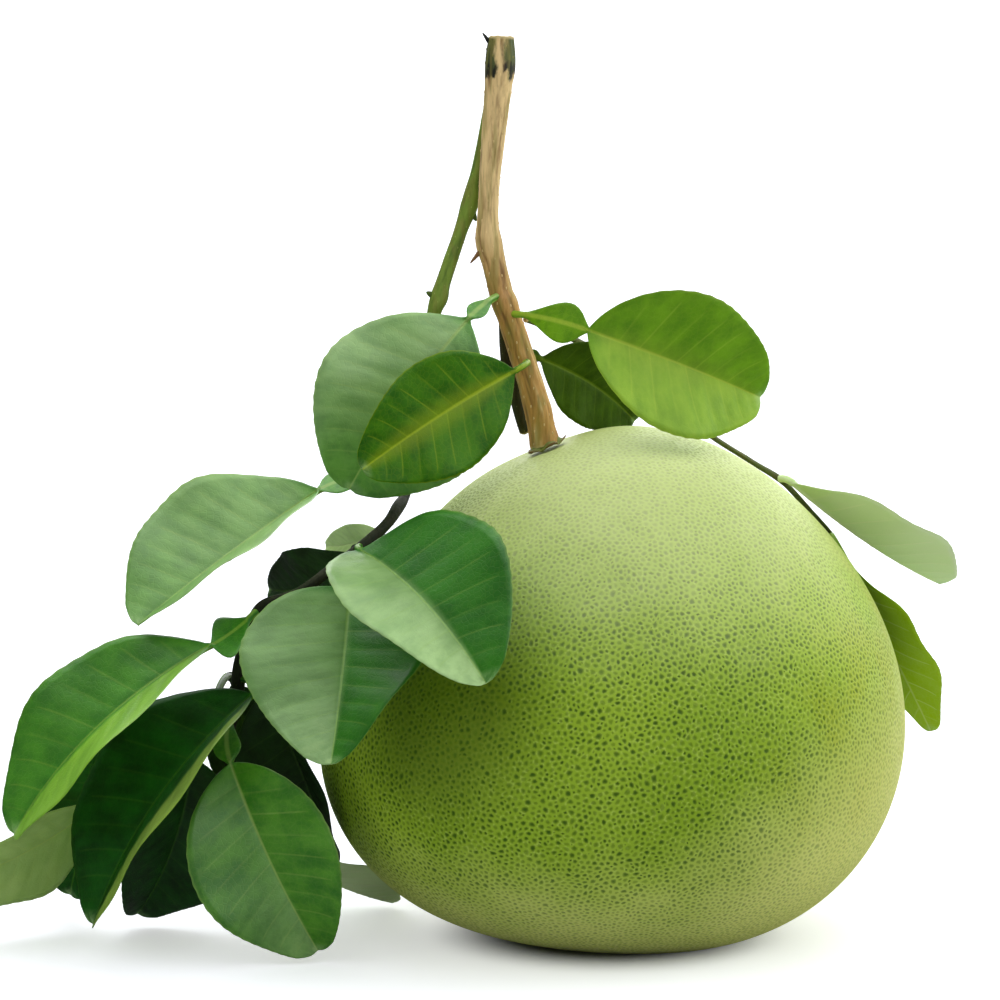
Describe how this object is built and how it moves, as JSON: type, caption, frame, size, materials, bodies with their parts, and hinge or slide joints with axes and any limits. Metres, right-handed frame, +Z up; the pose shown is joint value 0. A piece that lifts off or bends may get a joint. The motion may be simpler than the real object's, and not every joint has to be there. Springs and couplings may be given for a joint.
{
  "type": "pomelo",
  "caption": "Large round green citrus fruit with thick pitted rind, standing on its flat base, picked with its woody stem, thin twigs and broad glossy leaves.",
  "frame": {"origin": "centre of the flat spot under the fruit, on the surface it rests on", "axes": "+Z up from the resting surface, +X from the leafy shoot across the fruit, -Y toward the viewer who sees the shoot on the left"},
  "size_m": [0.2985, 0.1805, 0.2622],
  "materials": {
    "rind": "satin green rind with fine darker oil-gland pits",
    "calyx": "dull green-brown dried calyx",
    "bark": "matte ridged brown bark",
    "twig": "satin green to dark brown twig",
    "leaf": "glossy dark green upper side, duller pale green under side"
  },
  "bodies": {
    "root": {"fruit": "rind", "calyx": "calyx", "woody_stem": "bark", "left_twig": "twig", "side_twig": "twig", "back_twig": "twig", "right_twig": "twig", "leaf_crown_left_back": "leaf", "leaf_crown_left_front": "leaf", "leaf_crown_right": "leaf", "leaf_crown_right_back": "leaf", "leaf_far_right_upper": "leaf", "leaf_far_right_lower": "leaf", "leaf_left_high": "leaf", "leaf_over_fruit": "leaf", "leaf_beside_fruit": "leaf", "leaf_behind_twig": "leaf", "leaf_behind_twig_small": "leaf", "leaf_left_long_upper": "leaf", "leaf_left_long_lower": "leaf", "leaf_low_front": "leaf", "leaf_low_back": "leaf", "leaf_floor_pale": "leaf", "leaf_far_left": "leaf", "leaf_far_left_dark": "leaf", "leaf_inner_low": "leaf", "leaf_inner_dark": "leaf"}
  },
  "joints": []
}
